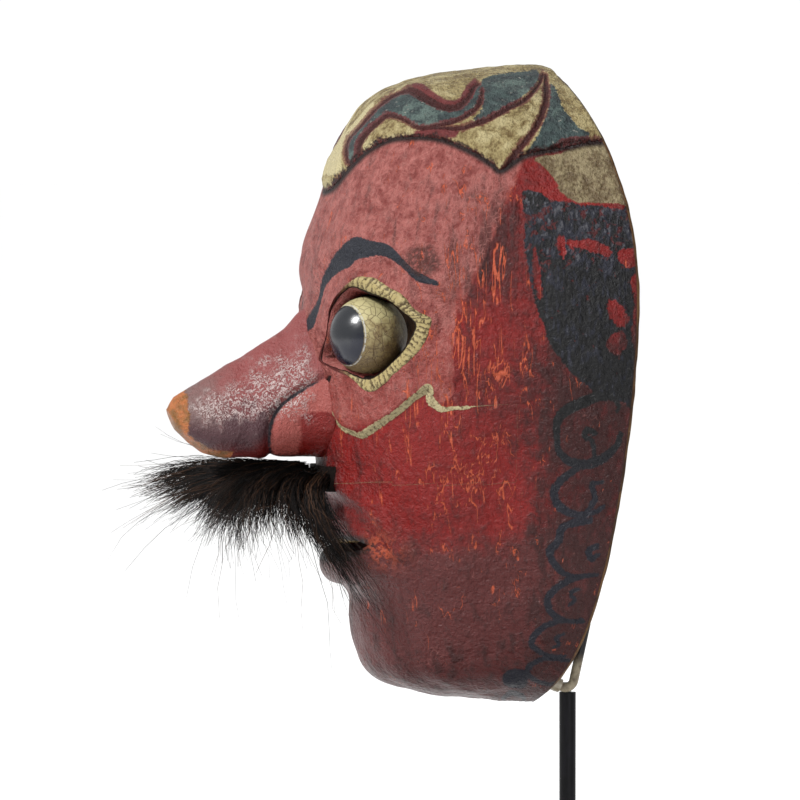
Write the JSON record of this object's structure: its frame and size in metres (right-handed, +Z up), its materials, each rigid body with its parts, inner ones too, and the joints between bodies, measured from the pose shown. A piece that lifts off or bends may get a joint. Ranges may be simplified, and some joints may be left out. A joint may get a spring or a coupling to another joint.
{
  "type": "carved dance mask on a display stand",
  "caption": "Hollow carved wooden face mask with a long pegged nose and a hair moustache, lifting off a wire-armed rod that turns in a weighted base.",
  "frame": {"origin": "on the table, under the middle of the base", "axes": "+Z up, the mask looks along -Y, +X is the mask's own left"},
  "size_m": [0.1402, 0.1478, 0.2874],
  "materials": {
    "black_powder_coat": "satin black powder coat",
    "black_steel": "black lacquer, slightly glossy",
    "screw_brass": "plain turned brass",
    "black_felt": "felt",
    "cream_sleeve": "soft cream tubing",
    "painted_wood": "red paint on light wood, worn and crackled",
    "painted_wood_nose": "dark red paint, crackled white, bare at the tip",
    "bare_wood": "bare",
    "hide": "dry hide",
    "leather": "worn",
    "hair": "coarse black hair",
    "iron_nail": "dull iron"
  },
  "bodies": {
    "stand_base": {"base_plate": "black_powder_coat", "base_felt": "black_felt", "rod_collar": "black_powder_coat"},
    "thumb_screw": {"thumb_screw": "screw_brass"},
    "stem": {"stand_rod": "black_steel", "back_wire": "black_steel", "side_hook": "black_steel", "hook_sleeve_left": "cream_sleeve", "hook_sleeve_right": "cream_sleeve", "wire_tip_sleeve": "cream_sleeve"},
    "mask": {"face_shell": "painted_wood", "nose": "painted_wood_nose", "nose_peg": "bare_wood", "moustache_hide": "hide", "moustache_hair_left": "hair", "moustache_hair_right": "hair", "moustache_nail_left": "iron_nail", "moustache_nail_right": "iron_nail", "bite_tab": "leather", "bite_tab_nail_left": "iron_nail", "bite_tab_nail_right": "iron_nail"}
  },
  "joints": [
    {"name": "rod_swivel", "type": "hinge", "parent": "stand_base", "child": "stem", "pos_m": [0, 0.04, 0.03], "axis": [0, 0, 1], "continuous": true},
    {"name": "thumb_screw_turn", "type": "hinge", "parent": "stand_base", "child": "thumb_screw", "pos_m": [0, 0.05, 0.0205], "axis": [0, 1, 0], "range_deg": [0, 360]},
    {"name": "mask_lift_off", "type": "slide", "parent": "stem", "child": "mask", "axis": [0, -0.7071, 0.7071], "range_m": [0, 0.2]}
  ]
}
